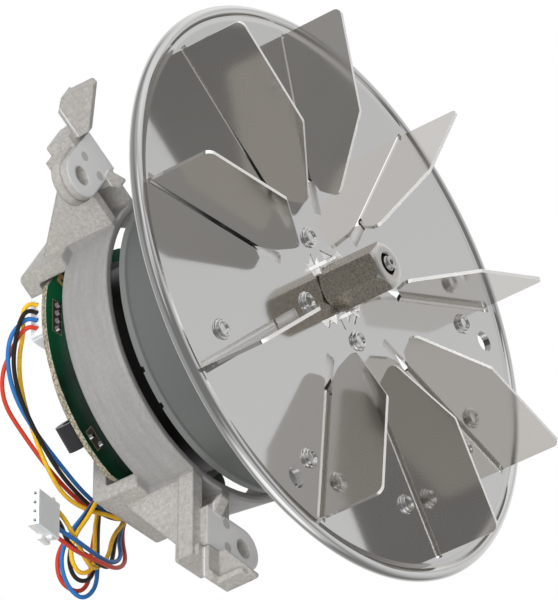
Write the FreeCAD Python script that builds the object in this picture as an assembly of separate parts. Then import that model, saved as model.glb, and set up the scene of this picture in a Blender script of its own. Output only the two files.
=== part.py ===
import FreeCAD, Part
import math
import os

os.makedirs("parts", exist_ok=True)
Vec = FreeCAD.Vector

# Fan motor: an outer-rotor motor in a die-cast aluminium frame, with a sheet steel
# impeller of nine straight blades on its shaft.  Millimetres.
# It is modelled with the shaft along +Z, the impeller in front (+Z) and Z = 0 at the
# machined faces of the three mounting pads.  At the end every piece is turned, so that
# the shaft lies along -Y, one mounting hole points along +X and +Z is up.

# Shaft line
shaft_r = 4.0
thread_r = 3.0
tip_r = 2.15
tip_hole_r = 0.9
tip_hole_depth = 2.0
shaft_rear = -32.6

# Impeller: a front disc and a second sheet behind it, from which the blades stand up
sheet = 1.0
disc_r = 83.0
disc_front = 38.9
bead_width = 3.6
bead_rise = 1.1
bead_round = 1.75
bead_wall = 0.8
bead_curl = 3.0
disc_bore_gap = 0.1
blade_count = 9
blade_phase = 26.0
blade_outer = 76.8
blade_inner = 24.2
blade_foot_inner = 34.0
blade_height = 20.2
blade_break = 45.0
blade_inner_height = 8.4
blade_low_inner = 28.0
blade_low_height = 3.0
blade_corner_r = 2.2
blade_offset = 0.5
bend_r = 0.8
slot_inner = 22.5
slot_outer = 77.4
slot_side = 0.8
window_kerf = 0.4
relief = 1.2
spider_r = 77.2

# Press-joined buttons that hold the two sheets together, and plain holes
button_r = 2.9
button_rise = 1.3
button_dish_r = 1.7
button_dish = 0.7
inner_button_circle = 15.3
inner_button_count = 4
inner_button_phase = 3.7
outer_button_circle = 61.4
outer_button_lag = 5.3
plain_hole_r = 3.0
plain_hole_circle = 71.0
plain_hole_phase = 97.7
plain_hole_count = 3

# Hub nut with the sheet tabs that lock it
nut_flats = 13.0
nut_length = 19.0
nut_phase = 49.7
nut_chamfer = 0.9
nut_mouth_r = 3.1
tip_proud = 0.3
tab_line = 7.1
tab_near = 2.6
tab_far = 7.6
tab_height = 4.6
tab_hole_depth = 3.2

# Seat of the impeller on the shaft
seat_r = 9.0
seat_thick = 3.0

# Rotor bell, magnets and rotor hub
bell_r = 43.4
bell_lip_r = 44.1
bell_lip = 2.3
bell_wall = 1.5
bell_front = 28.0
bell_rear = 1.1
bell_corner = 4.0
bell_notch = 1.6
magnet_wall = 3.9
magnet_count = 10
magnet_gap = 1.6
hub_r = 9.0
hub_bore_r = 6.5
air_gap = 0.5

# Bearings, the common 8 x 22 x 7 size
bearing_r = 11.0
bearing_width = 7.0
race_wall = 1.8
ball_r = 1.95
ball_count = 7
ball_circle = 7.5
bearing_front_top = 19.0
bearing_rear_bottom = -30.4
ball_play = 0.05
retaining_thick = 0.8
retaining_bite = 0.3
retaining_gap = 0.05

# Die-cast frame
ring_front = -2.6
ring_rear = -19.2
ring_front_r = 45.4
ring_rear_r = 43.7
ring_wall = 2.3
tube_r = 13.0
tube_top = 19.3
back_plate_r = 33.0
back_front = -29.6
back_rear = -34.1
strap_proud = 1.6
strap_thick = 4.3
strap_half = 12.5
strap_chamfer = 2.6
leg_inner = 16.0
arm_count = 3
hole_circle_r = 62.7
hole_r = 2.75
arm_lead = 9.0
arm_low_side = -7.4
arm_high_side = 6.9
arm_wall = 3.0
flange_rear = -9.2
boss_rear = -5.2
boss_grow = 0.5
bead_rear = -7.8
bead_proud = 0.9
gusset_outer = 65.5
gusset_rear = -26.6
gusset_root = 46.0
pad_half = 6.2
pad_low_side = -5.4
end_outer = 71.6
end_inner = 68.2
end_high_side = 2.5
end_front = -1.1
foot_tip = 81.3
foot_side = 0.2
foot_plate = 2.6
foot_front = 13.9
foot_tip_rear = 2.3
foot_root_front = 3.5
foot_wall_side = -6.5
foot_wall = 2.7
foot_wall_end = 78.0
foot_lip = 2.2
fin_inner = 51.7
fin_side = 0.5
fin_thick = 3.2
fin_tip = 3.1
opening_outer = 56.0

# Stator
stator_bottom = 5.0
stator_top = 21.0
stator_teeth = 12
tooth_width = 5.0
yoke_r = 19.0
shoe = 1.8
slot_mouth = 2.6
liner = 0.8
coil_build = 2.2
coil_rise = 2.5
coil_inner = 20.5
coil_outer = 34.5
carrier_r = 30.6
carrier_wall = 2.0
carrier_bottom = -22.0

# Circuit board with what it carries
board_front = -25.6
board_thick = 1.6
board_r = 43.0
board_arm_flat = 40.3
board_flat = 36.4
board_right = 15.0
board_chamfer = 3.0
board_hole_r = 14.0
board_ring_r = 32.7
board_ring_wall = 4.0
header_angle = 142.9
header_circle = 38.4
header_pitch = 2.5
header_pins = 4
header_depth = 5.8
header_height = 4.6
header_margin = 3.0
plug_inside = 2.3
plug_length = 3.3
plug_gap = 0.9
plug_bore = 2.1
pin_r = 0.45
solder_r = 0.95
solder_height = 1.0
choke_r = 4.0
choke_length = 7.6
choke_circle = 37.4
choke_angle = 192.0

# Wires.  Their ways are points in the finished part's own frame.  Each starts in the plug
# on the board and ends in the connector, and those ends follow from the values above.
wire_r = 0.7
wire_start_out = 2.0
wire_end_in = 1.6
wire_end_out = 3.2
yellow_way = [
    (-35.5, 32, 28.5), (-34.5, 34.5, 23.5), (-36, 38.5, 17.5), (-36.5, 41.5, 10), (-35.5, 44, 0),
    (-33.5, 46, -12), (-30, 47, -21.5), (-24, 45.5, -27.5), (-18, 44, -30.5), (-13, 43.5, -33.5),
    (-8, 40.5, -33), (-5.5, 38, -30), (-7, 37, -25.5), (-11.5, 37.5, -21.5), (-19, 38.5, -21.5),
    (-26, 38.5, -25), (-33.5, 40, -29.5), (-39.5, 42, -32.5), (-42.5, 44.5, -37),
    (-40.5, 45.5, -43), (-34, 44.5, -43), (-27.5, 45.5, -37), (-20.5, 48, -32.5),
    (-13.5, 49.5, -28.5), (-8, 51, -24), (-1.5, 50.5, -20.5), (4, 48.5, -19.5), (7, 47, -23),
    (6.5, 46.5, -27.5), (1.5, 47, -31.5), (-7, 47.5, -34), (-16.5, 46.5, -36.5), (-26, 44, -41.5),
    (-36.5, 43, -43.5), (-44.5, 39, -40), (-50, 35.5, -33.5)]
black_way = [
    (-37.6, 30.9, 27.4), (-40.5, 33.4, 23), (-41, 38, 16), (-40.5, 40.5, 7.5), (-37.5, 42, -5),
    (-33, 43, -16), (-27.5, 44, -22.5), (-22, 45.5, -26.5), (-16.5, 45.5, -31),
    (-10.5, 44.5, -33.5), (-5.5, 42.5, -33), (-3, 39.5, -30), (-4, 38.5, -25), (-9, 39, -21),
    (-16.5, 40, -21.5), (-24, 40, -25), (-32.5, 41.5, -29), (-38.5, 43.5, -33),
    (-41.5, 46.5, -38.5), (-40, 47.5, -44), (-34, 47, -45.5), (-26.5, 47.5, -40.5),
    (-19, 49, -33.5), (-11.5, 50.5, -29), (-5, 52.5, -23.5), (1, 52.5, -20), (6.5, 50.5, -19.5),
    (9.5, 48.5, -22.5), (9, 48, -27.5), (4, 49, -30.5), (-4, 49.5, -33.5), (-13, 48, -37),
    (-22.5, 45.5, -42.5), (-32, 42, -44.5), (-40.5, 40, -39.5), (-49.5, 39, -34.5)]
blue_way = [
    (-36.7, 33.1, 25.6), (-40.8, 35.9, 22.9), (-40.5, 40.5, 15.5), (-39.5, 42.5, 6.5),
    (-36, 43, -3.5), (-30.5, 43.5, -13.5), (-25, 44.5, -21), (-19.5, 45.5, -26),
    (-14, 46.5, -30.5), (-9, 45.5, -33), (-3.5, 43.5, -33.5), (-0.5, 41.5, -30), (-1, 40.5, -25),
    (-6, 41, -21.5), (-14, 41.5, -21), (-22, 41.5, -25), (-30.5, 43, -28.5), (-37.5, 45, -31.5),
    (-42.5, 47.5, -36.5), (-43, 49, -43.5), (-39, 49, -49.5), (-31.5, 48, -48), (-24, 49, -41),
    (-16, 50.5, -33.5), (-9, 52, -28.5), (-2.5, 54, -23.5), (3.5, 54, -20), (9.5, 52, -19.5),
    (12.5, 50, -22.5), (11.5, 49.5, -27), (7, 50.5, -30.5), (-1.5, 51, -33.5), (-10.5, 49, -38),
    (-19.5, 44.5, -43), (-30.5, 41, -43.5), (-41, 37.5, -40), (-51, 34.5, -35)]
red_way = [
    (-38.1, 33.5, 23.1), (-37.2, 38.3, 20.4), (-40.5, 43, 15), (-40.5, 46, 7.5), (-37, 46.5, -1.5),
    (-32, 47, -12), (-25.5, 47.5, -21.5), (-19, 48, -27), (-12.5, 47.5, -30), (-6.5, 46.5, -32.5),
    (-1, 45, -33), (2, 43, -30), (1.5, 42, -25), (-3.5, 42.5, -21.5), (-11, 43.5, -21),
    (-19.5, 43, -24.5), (-28.5, 44.5, -28.5), (-36, 46.5, -32), (-41.5, 49, -35.5),
    (-42.5, 51, -42.5), (-37.5, 50, -47.5), (-30, 50, -45.5), (-22, 51, -38), (-13.5, 52.5, -32.5),
    (-6, 54, -28.5), (0, 56, -23.5), (6, 56, -20), (12, 54, -19), (15, 52, -22.5),
    (14.5, 51.5, -27), (9.5, 52.5, -30.5), (1.5, 53, -33.5), (-7.5, 50, -38.5), (-18, 44.5, -44.5),
    (-30, 40.5, -45.5), (-41.5, 37, -42), (-53.5, 34.5, -37.5)]

# Connector at the wires' end: rear centre of its ways, the way it points and its row
connector_at = (-58.99, 33.46, -28.08)
connector_out = (-0.8575, -0.2469, 0.4514)
connector_row = (0.4914, -0.1331, 0.8605)
connector_length = 12.4
connector_pitch = 2.54
connector_front_side = 1.25
connector_back_side = 3.2
connector_groove = 1.0
terminal_r = 0.8
terminal_bore = 0.5
terminal_start = 3.0
terminal_end = 11.4
pin_way = 0.9


def solid_ring(outer, inner, low, high):
    body = Part.makeCylinder(outer, high - low, Vec(0, 0, low))
    if inner <= 0:
        return body
    return body.cut(Part.makeCylinder(inner, high - low, Vec(0, 0, low)))


def rounded_wire(corners, place):
    """A closed outline of (a, b) or (a, b, radius) corners, put in space by place()."""
    count = len(corners)
    starts, mids, ends = [], [], []
    for i, corner in enumerate(corners):
        here = Vec(corner[0], corner[1], 0)
        radius = corner[2] if len(corner) > 2 else 0
        before = Vec(corners[i - 1][0], corners[i - 1][1], 0) - here
        after = Vec(corners[(i + 1) % count][0], corners[(i + 1) % count][1], 0) - here
        before.normalize()
        after.normalize()
        if radius == 0:
            starts.append(here)
            mids.append(None)
            ends.append(here)
            continue
        half = before.getAngle(after) / 2
        back = radius / math.tan(half)
        bisector = before + after
        bisector.normalize()
        centre = here + bisector * (radius / math.sin(half))
        starts.append(here + before * back)
        mids.append(centre - bisector * radius)
        ends.append(here + after * back)
    edges = []
    for i in range(count):
        if mids[i] is not None:
            arc = Part.Arc(place(starts[i]), place(mids[i]), place(ends[i]))
            edges.append(arc.toShape())
        following = starts[(i + 1) % count]
        if (following - ends[i]).Length > 1e-6:
            edges.append(Part.makeLine(place(ends[i]), place(following)))
    return Part.Wire(edges)


def slab(corners, low, high):
    """An outline in the XY plane, raised from Z = low to high."""
    wire = rounded_wire(corners, lambda p: Vec(p.x, p.y, low))
    return Part.Face(wire).extrude(Vec(0, 0, high - low))


def upright(corners, low, high):
    """An outline in the XZ plane, thickened from Y = low to high."""
    wire = rounded_wire(corners, lambda p: Vec(p.x, low, p.y))
    return Part.Face(wire).extrude(Vec(0, high - low, 0))


def turned(corners):
    """An outline of radius and height, turned about the shaft."""
    wire = rounded_wire(corners, lambda p: Vec(p.x, 0, p.y))
    return Part.Face(wire).revolve(Vec(0, 0, 0), Vec(0, 0, 1), 360)


def spun(shape, angle):
    copy = shape.copy()
    copy.rotate(Vec(0, 0, 0), Vec(0, 0, 1), angle)
    return copy


def pattern(shape, count, phase=0.0):
    return [spun(shape, phase + i * 360.0 / count) for i in range(count)]


def polar(radius, angle, height=0.0):
    turn = math.radians(angle)
    return Vec(radius * math.cos(turn), radius * math.sin(turn), height)


def round_button(circle, low, high, radius, corner):
    button = turned([(0, low), (radius, low), (radius, high, corner), (0, high)])
    button.translate(Vec(circle, 0, 0))
    return button


def button_spots():
    """Angle and circle of every button."""
    inner = [(inner_button_phase + i * 360.0 / inner_button_count, inner_button_circle)
             for i in range(inner_button_count)]
    outer = [(blade_phase - outer_button_lag + i * 360.0 / blade_count, outer_button_circle)
             for i in range(blade_count)]
    return inner + outer


def plain_holes(low, high):
    hole = Part.makeCylinder(plain_hole_r, high - low, Vec(plain_hole_circle, 0, low))
    return pattern(hole, plain_hole_count, plain_hole_phase)


def lock_tabs(bottom):
    """Triangles of sheet bent up against the nut, and the holes that they leave."""
    tabs, holes = [], []
    for side in (-1, 1):
        for hand in (-1, 1):
            near, far = hand * tab_near, hand * tab_far
            stand = upright([(near, bottom), (far, bottom), (near, bottom + tab_height)], 0, sheet)
            stand.translate(Vec(0, tab_line if side > 0 else -tab_line - sheet, 0))
            tabs.append(stand)
            edge = side * (tab_line + sheet)
            deep = edge + side * tab_hole_depth
            corners = [(near, edge), (far, edge), (near, deep)]
            holes.append(slab(corners, bottom - 1, bottom + sheet + 1))
    turn = inner_button_phase
    return [spun(tab, turn) for tab in tabs], [spun(hole, turn) for hole in holes]


def impeller_disc():
    back = disc_front - sheet
    bore = thread_r + disc_bore_gap
    step = disc_r - bead_width
    top = disc_front + bead_rise
    low = top - bead_width
    inside = bead_round - bead_wall
    flat = turned([(bore, back), (step, back, 0.4), (step + 0.4, top - bead_wall, 0.3),
                   (disc_r - bead_wall, top - bead_wall, inside),
                   (disc_r - bead_wall, low + bead_wall, inside),
                   (disc_r - bead_curl, low + bead_wall), (disc_r - bead_curl, low),
                   (disc_r, low, bead_round), (disc_r, top, bead_round),
                   (step - 0.4, top, 0.8), (step - 0.8, disc_front, 0.6), (bore, disc_front)])
    tabs, tab_holes = lock_tabs(back)
    buttons = [spun(round_button(circle, disc_front - sheet / 2, disc_front + button_rise,
                                 button_r, 0.5), angle) for angle, circle in button_spots()]
    dishes = [spun(round_button(circle, disc_front + button_rise - button_dish,
                                disc_front + button_rise + 1, button_dish_r, 0), angle)
              for angle, circle in button_spots()]
    slot_low = blade_offset - bend_r - slot_side
    slot_high = blade_offset + sheet + slot_side
    slot = slab([(slot_inner, slot_low, 0.6), (slot_outer, slot_low, 0.6),
                 (slot_outer, slot_high, 0.6), (slot_inner, slot_high, 0.6)],
                back - 1, disc_front + 1)
    slots = pattern(slot, blade_count, blade_phase)
    disc = flat.fuse(tabs + buttons)
    return disc.cut(slots + tab_holes + dishes + plain_holes(back - 1, disc_front + 1))


def blade_outline(foot, grow=0.0):
    """Corners of a blade as (distance from the shaft, height above its foot line)."""
    return [(blade_foot_inner, foot),
            (blade_low_inner - grow, foot + blade_low_height, 1.0),
            (blade_inner - grow, foot + blade_inner_height, blade_corner_r),
            (blade_break, foot + blade_height + grow, 1.5),
            (blade_outer + grow, foot + blade_height + grow, blade_corner_r),
            (blade_outer + grow, foot)]


def blade(top):
    """One blade with the bend at its foot; top is the face of the sheet it stands on."""
    plate = upright(blade_outline(top + bend_r), blade_offset, blade_offset + sheet)
    centre = Vec(0, blade_offset - bend_r, top + bend_r)
    inner, outer = bend_r, bend_r + sheet

    def on(radius, angle):
        turn = math.radians(angle)
        return centre + Vec(0, radius * math.cos(turn), radius * math.sin(turn))

    edges = [Part.Arc(on(outer, -90), on(outer, -45), on(outer, 0)).toShape(),
             Part.makeLine(on(outer, 0), on(inner, 0)),
             Part.Arc(on(inner, 0), on(inner, -45), on(inner, -90)).toShape(),
             Part.makeLine(on(inner, -90), on(outer, -90))]
    length = blade_outer - blade_foot_inner
    bend = Part.Face(Part.Wire(edges)).extrude(Vec(length, 0, 0))
    bend.translate(Vec(blade_foot_inner, 0, 0))
    return plate.fuse(bend)


def blade_spider():
    top = disc_front - sheet
    bottom = top - sheet
    plate = solid_ring(spider_r, thread_r + disc_bore_gap, bottom, top)
    fold = blade_offset - bend_r
    window = slab(blade_outline(fold, window_kerf), bottom - 1, top + 1)
    reliefs = []
    for start in (blade_foot_inner - relief, blade_outer):
        notch = slab([(start, fold - relief), (start + relief, fold - relief),
                      (start + relief, fold + relief), (start, fold + relief)],
                     bottom - 1, top + 1)
        reliefs.append(notch)
    cuts = []
    for shape in [window] + reliefs:
        cuts += pattern(shape, blade_count, blade_phase)
    dimples = [spun(Part.makeCylinder(button_dish_r, sheet / 2, Vec(circle, 0, bottom)), angle)
               for angle, circle in button_spots()]
    tab_holes = lock_tabs(top)[1]
    plate = plate.cut(cuts + dimples + tab_holes + plain_holes(bottom - 1, top + 1))
    return plate.fuse(pattern(blade(top), blade_count, blade_phase))


def hub_nut():
    front = disc_front + nut_length
    hexagon = [polar(nut_flats / math.sqrt(3), 30 + 60 * i) for i in range(6)]
    hexagon.append(hexagon[0])
    body = Part.Face(Part.makePolygon(hexagon)).extrude(Vec(0, 0, nut_length))
    body.translate(Vec(0, 0, disc_front))
    corner = nut_flats / math.sqrt(3)
    turned_form = turned([(0, disc_front - 1), (corner + 1, disc_front - 1),
                          (corner + 1, front - nut_chamfer - 1),
                          (nut_flats / 2 - 0.4, front), (0, front)])
    bore = Part.makeCylinder(thread_r, nut_length + 2, Vec(0, 0, disc_front - 1))
    mouth = Part.makeCone(thread_r, nut_mouth_r + 0.5, 0.7, Vec(0, 0, front - 0.6))
    return spun(body.common(turned_form).cut([bore, mouth]), nut_phase)


def shaft():
    seat_rear = disc_front - 2 * sheet - seat_thick
    thread_end = disc_front + nut_length - 4.5
    tip = disc_front + nut_length + tip_proud
    body = turned([(0, shaft_rear), (shaft_r - 0.5, shaft_rear), (shaft_r, shaft_rear + 0.5),
                   (shaft_r, seat_rear + seat_thick), (thread_r, seat_rear + seat_thick),
                   (thread_r, thread_end), (tip_r, thread_end),
                   (tip_r, tip - 0.3), (tip_r - 0.3, tip), (0, tip)])
    tip_hole = Part.makeCylinder(tip_hole_r, tip_hole_depth, Vec(0, 0, tip - tip_hole_depth))
    top = retaining_top() + retaining_gap
    groove = solid_ring(shaft_r + 1, shaft_r - retaining_bite - retaining_gap,
                        top - retaining_thick - 2 * retaining_gap, top)
    return body.cut([tip_hole, groove])


def impeller_seat():
    rear = disc_front - 2 * sheet - seat_thick
    return turned([(shaft_r, rear), (seat_r - 2.5, rear, 0.6), (seat_r - 2.5, rear + 1.2),
                   (seat_r, rear + 1.2, 0.4), (seat_r, rear + seat_thick),
                   (shaft_r, rear + seat_thick)])


def rotor_bell():
    lip_top = bell_rear + bell_lip
    body = turned([(hub_bore_r, bell_front - bell_wall), (hub_bore_r, bell_front),
                   (bell_r - 11.0, bell_front, 1.0), (bell_r - 9.5, bell_front - 1.2, 1.0),
                   (bell_r, bell_front - 1.2, bell_corner), (bell_r, lip_top),
                   (bell_lip_r, lip_top - 0.5), (bell_lip_r, bell_rear),
                   (bell_r - bell_wall, bell_rear),
                   (bell_r - bell_wall, bell_front - bell_wall - 1.2, bell_corner - bell_wall),
                   (bell_r - 10.0, bell_front - bell_wall - 1.2),
                   (bell_r - 11.5, bell_front - bell_wall)])
    notch = Part.makeBox(6, bell_notch, 0.8, Vec(bell_lip_r - 4, -bell_notch / 2, bell_rear - 0.1))
    return body.cut([spun(notch, 180.5), spun(notch, 194.5)])


def magnet_outer():
    return bell_r - bell_wall


def magnets():
    outer = magnet_outer()
    inner = outer - magnet_wall
    low = bell_rear + 1.6
    high = stator_top + 1.5
    body = solid_ring(outer, inner, low, high)
    gap = Part.makeBox(magnet_wall + 2, magnet_gap, high - low + 2,
                       Vec(inner - 1, -magnet_gap / 2, low - 1))
    return body.cut(pattern(gap, magnet_count))


def rotor_hub():
    low = tube_top + 0.8
    inside = bell_front - bell_wall
    return turned([(shaft_r, bearing_front_top), (shaft_r + race_wall - 0.3, bearing_front_top),
                   (shaft_r + race_wall - 0.3, low), (hub_r, low, 0.6), (hub_r, inside),
                   (hub_bore_r, inside), (hub_bore_r, bell_front + 0.6, 0.3),
                   (shaft_r, bell_front + 0.6)])


def bearing(low):
    """Outer race, inner race and the balls of one bearing."""
    mid = low + bearing_width / 2
    track = ball_r + ball_play
    outer = solid_ring(bearing_r, bearing_r - race_wall, low, low + bearing_width)
    inner = solid_ring(shaft_r + race_wall, shaft_r, low, low + bearing_width)
    groove = Part.makeTorus(ball_circle, track, Vec(0, 0, mid))
    outer_groove = Part.makeTorus(ball_circle, ball_r, Vec(0, 0, mid))
    ball = Part.makeSphere(ball_r, Vec(ball_circle, 0, mid))
    return outer.cut(outer_groove), inner.cut(groove), Part.makeCompound(pattern(ball, ball_count))


def retaining_top():
    """The ring sits just behind the rear bearing."""
    return bearing_rear_bottom - 0.15


def retaining_ring():
    top = retaining_top()
    body = solid_ring(shaft_r + 1.6, shaft_r - retaining_bite, top - retaining_thick, top)
    slot = Part.makeBox(8, 2.4, 3, Vec(0, -1.2, top - 2))
    return body.cut(slot)


def frame_ring():
    return turned([(ring_front_r - ring_wall, ring_front), (ring_front_r - 0.5, ring_front),
                   (ring_front_r, ring_front - 0.5), (ring_rear_r, ring_rear),
                   (ring_rear_r - ring_wall, ring_rear)])


def strap():
    """The strap behind the ring, with the leg that joins it to the back plate."""
    outer = ring_rear_r + strap_proud
    bent = upright([(outer, ring_rear + 0.6), (outer, back_rear, strap_chamfer),
                    (leg_inner, back_rear), (leg_inner, back_front),
                    (outer - strap_thick, back_front, 1.2), (outer - strap_thick, ring_rear + 0.6)],
                   -strap_half, strap_half)
    return bent


def pad_outline(half):
    """The pad: straight from its low side to the hole, then round the hole."""
    lead = math.radians(arm_lead)
    along, across = hole_circle_r * math.cos(lead), hole_circle_r * math.sin(lead)
    start = Vec(along - half, pad_low_side, 0)
    edges = [Part.makeLine(start, Vec(along - half, across, 0)),
             Part.Arc(Vec(along - half, across, 0), Vec(along, across + half, 0),
                      Vec(along + half, across, 0)).toShape(),
             Part.makeLine(Vec(along + half, across, 0), Vec(along + half, pad_low_side, 0)),
             Part.makeLine(Vec(along + half, pad_low_side, 0), start)]
    return Part.Face(Part.Wire(edges))


def arm():
    """One mounting arm along +X: box walls, gussets, pad, hooked foot and fin."""
    root = ring_rear_r - 0.7
    pad = pad_outline(pad_half).extrude(Vec(0, 0, -ring_front))
    pad.translate(Vec(0, 0, ring_front))
    boss = pad_outline(pad_half + boss_grow).extrude(Vec(0, 0, ring_front - boss_rear + 0.2))
    boss.translate(Vec(0, 0, boss_rear))
    gusset = [(root, ring_front), (gusset_outer, ring_front), (gusset_outer, flange_rear),
              (gusset_root, gusset_rear), (root, gusset_rear)]
    low_wall = upright(gusset, arm_low_side, arm_low_side + arm_wall)
    high_wall = upright([(root, ring_front), (opening_outer + 3, ring_front),
                         (gusset_outer - 3.0, flange_rear), (gusset_root, gusset_rear),
                         (root, gusset_rear)], arm_high_side - arm_wall, arm_high_side)
    bead = upright([(root, ring_front), (end_outer, ring_front), (end_outer, bead_rear, 0.8),
                    (root, bead_rear)], arm_low_side - bead_proud, arm_low_side + 1.0)
    roof = slab([(opening_outer, arm_low_side), (end_inner + 0.5, arm_low_side),
                 (end_inner + 0.5, arm_high_side), (opening_outer, arm_high_side)],
                flange_rear, ring_front)
    end = upright([(end_inner, flange_rear), (end_outer, flange_rear, 1.0),
                   (end_outer, end_front), (end_inner, end_front)],
                  arm_low_side, end_high_side)
    web = upright([(end_inner + 1.2, end_front), (end_inner + 1.2, foot_root_front),
                   (foot_tip - 0.2, foot_front, 0.8), (foot_tip, foot_tip_rear, 0.8),
                   (foot_wall_end, end_front)], foot_side - foot_plate, foot_side)
    floor = upright([(end_inner + 1.2, end_front), (foot_wall_end, end_front),
                     (foot_tip, foot_tip_rear), (foot_tip - foot_lip, foot_tip_rear + 1.0),
                     (foot_wall_end - 1.0, end_front + foot_wall),
                     (end_inner + 1.2, end_front + foot_wall)], foot_wall_side, foot_side)
    lip = upright([(foot_tip - foot_lip, foot_tip_rear), (foot_tip, foot_tip_rear),
                   (foot_tip - 0.1, foot_front - 1.0, 0.8), (foot_tip - foot_lip, foot_front - 3.5)],
                  foot_wall_side + 2.0, foot_side)
    fin = upright([(opening_outer + 1, ring_front - 5), (opening_outer - 2.2, ring_front - 5),
                   (opening_outer - 2.6, -0.5, 1.0), (fin_inner, fin_tip - 1.6, 0.5),
                   (fin_inner + 0.2, fin_tip, 0.6), (opening_outer + 1, 0)],
                  fin_side - fin_thick, fin_side)
    return low_wall.fuse([high_wall, bead, roof, boss, pad, end, web, floor, lip, fin])


def mounting_hole():
    lead = math.radians(arm_lead)
    at = Vec(hole_circle_r * math.cos(lead), hole_circle_r * math.sin(lead), flange_rear - 1)
    return Part.makeCylinder(hole_r, 2 - flange_rear, at)


def motor_frame():
    clear = solid_ring(ring_rear_r - ring_wall - 0.1, 0, ring_rear - 1, ring_front + 1)
    arms = [piece.cut(clear) for piece in pattern(arm(), arm_count, -arm_lead)]
    straps = pattern(strap(), arm_count, -arm_lead)
    plate = solid_ring(back_plate_r, 0, back_rear, back_front)
    tube = solid_ring(tube_r, 0, back_rear, tube_top)
    body = frame_ring().fuse([plate, tube] + arms + straps)
    bore_rear = Part.makeCylinder(bearing_r, bearing_width + 1.0,
                                  Vec(0, 0, bearing_rear_bottom))
    bore_front = Part.makeCylinder(bearing_r, tube_top - bearing_front_top + bearing_width + 1,
                                   Vec(0, 0, bearing_front_top - bearing_width))
    through = Part.makeCylinder(bearing_r - 2.2, tube_top - back_rear + 2, Vec(0, 0, back_rear - 1))
    ring_bore = turned([(0, ring_front), (ring_front_r - ring_wall, ring_front),
                        (ring_rear_r - ring_wall, ring_rear), (0, ring_rear)])
    ring_bore = ring_bore.cut(Part.makeCylinder(tube_r, tube_top - back_rear, Vec(0, 0, back_rear)))
    holes = pattern(mounting_hole(), arm_count, -arm_lead)
    return body.cut([bore_rear, bore_front, through, ring_bore] + holes)


def tooth_slot(low, high):
    """The space between two teeth, with its narrow mouth at the air gap."""
    outer = magnet_outer() - magnet_wall - air_gap
    half_pitch = math.radians(180.0 / stator_teeth)
    half_tooth = tooth_width / 2

    def side(radius):
        """Half width of the slot at a radius, beside a straight tooth."""
        return radius * math.tan(half_pitch) - half_tooth / math.cos(half_pitch)

    deep, wide = yoke_r + 0.5, outer - shoe
    body = slab([(deep, -side(deep)), (wide, -side(wide)), (wide, side(wide)),
                 (deep, side(deep))], low, high)
    mouth = Part.makeBox(shoe + 3, slot_mouth, high - low, Vec(outer - shoe - 1, -slot_mouth / 2, low))
    return body.fuse(mouth)


def lamination(low, high, outer):
    half = 180.0 / stator_teeth
    slots = pattern(tooth_slot(low - 1, high + 1), stator_teeth, half)
    return solid_ring(outer, tube_r, low, high).cut(slots)


def stator_core():
    return lamination(stator_bottom, stator_top, magnet_outer() - magnet_wall - air_gap)


def insulator(low):
    return lamination(low, low + liner, magnet_outer() - magnet_wall - air_gap - 0.4)


def coils():
    low, high = stator_bottom - liner, stator_top + liner
    half = tooth_width / 2
    outside = Part.makeBox(coil_outer - coil_inner, 2 * (half + coil_build),
                           high - low + 2 * coil_rise,
                           Vec(coil_inner, -half - coil_build, low - coil_rise))
    ends = [edge for edge in outside.Edges if abs(edge.tangentAt(0).x) > 0.9]
    outside = outside.makeFillet(1.6, ends)
    inside = Part.makeBox(coil_outer - coil_inner + 2, 2 * half, high - low,
                          Vec(coil_inner - 1, -half, low))
    return Part.makeCompound(pattern(outside.cut(inside), stator_teeth))


def stator_carrier():
    top = stator_bottom - liner - coil_rise
    return turned([(tube_r, top - 2.5), (carrier_r - carrier_wall, top - 2.5),
                   (carrier_r - carrier_wall, carrier_bottom), (carrier_r, carrier_bottom),
                   (carrier_r, top, 1.0), (tube_r, top)])


def board_ring():
    return turned([(board_ring_r - board_ring_wall, board_front),
                   (board_ring_r, board_front), (board_ring_r, carrier_bottom),
                   (board_ring_r - board_ring_wall, carrier_bottom)])


def board_outline(low, high):
    body = Part.makeCylinder(board_r, high - low, Vec(0, 0, low))
    reach = board_r + 5
    limits = slab([(-reach, -board_flat), (board_right, -board_flat, board_chamfer),
                   (board_right, board_flat, board_chamfer), (-reach, board_flat)], low, high)
    beside_arm = Part.makeBox(board_r, 2 * board_r, high - low, Vec(board_arm_flat, -board_r, low))
    return body.common(limits).cut(pattern(beside_arm, arm_count, -arm_lead))


def header_spots():
    """Place of each pin in the frame of the header: X outwards, Y along the row."""
    first = -(header_pins - 1) / 2.0 * header_pitch
    return [first + i * header_pitch for i in range(header_pins)]


def on_header(shape):
    return spun(shape, header_angle)


def lead_spots():
    """The two leads of the choke, as distance from the shaft and angle."""
    return [(40.2, 195.0), (38.2, 200.0)]


def circuit_board():
    low = board_front - board_thick
    body = board_outline(low, board_front)
    cuts = [Part.makeCylinder(board_hole_r, board_thick, Vec(0, 0, low))]
    for across in header_spots():
        at = Vec(header_circle, across, low)
        cuts.append(on_header(Part.makeCylinder(pin_r, board_thick, at)))
    for circle, angle in lead_spots():
        cuts.append(Part.makeCylinder(pin_r, board_thick, polar(circle, angle, low)))
    return body.cut(cuts)


def solder_joints():
    base = board_front
    cone = turned([(pin_r, base), (solder_r, base), (pin_r + 0.15, base + solder_height),
                   (pin_r, base + solder_height)])
    joints = []
    for across in header_spots():
        joint = cone.copy()
        joint.translate(Vec(header_circle, across, 0))
        joints.append(on_header(joint))
    for circle, angle in lead_spots():
        joint = cone.copy()
        joint.translate(polar(circle, angle))
        joints.append(joint)
    return Part.makeCompound(joints)


def header_box():
    """The header's low corner and size, before it is turned to its place."""
    wide = (header_pins - 1) * header_pitch + 2 * header_margin
    low = board_front - board_thick - header_height
    return low, wide


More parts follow.
